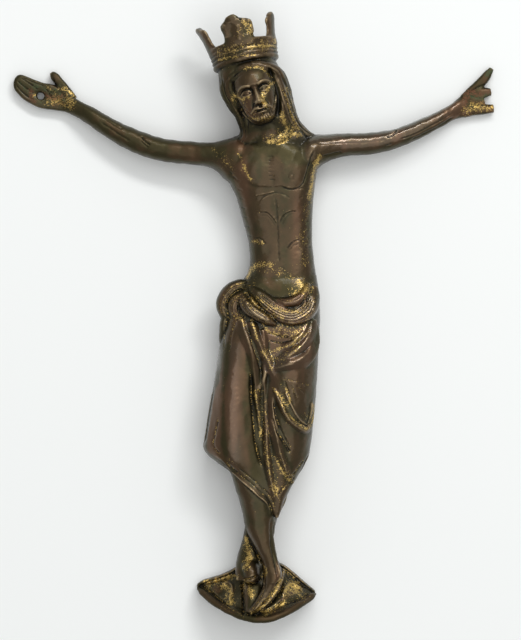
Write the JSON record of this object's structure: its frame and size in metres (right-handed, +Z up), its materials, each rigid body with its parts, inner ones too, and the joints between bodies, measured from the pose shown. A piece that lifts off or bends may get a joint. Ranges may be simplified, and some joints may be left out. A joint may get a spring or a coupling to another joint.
{
  "type": "crucifix corpus figure",
  "caption": "Crowned cast-bronze figure from an altar cross, arms spread, in a long knotted loincloth, feet on a bracket.",
  "frame": {"origin": "middle of the underside as the figure lies on its flat back: centred across the arms and from bracket to crown", "axes": "+Y from the feet to the crown, +X towards the figure's left hand, +Z up out of the chest"},
  "size_m": [0.1588, 0.1996, 0.0276],
  "materials": {
    "bronze": "dark brown worn bronze with remains of gilding in the hollows"
  },
  "bodies": {
    "root": {"corpus": "bronze"}
  },
  "joints": []
}
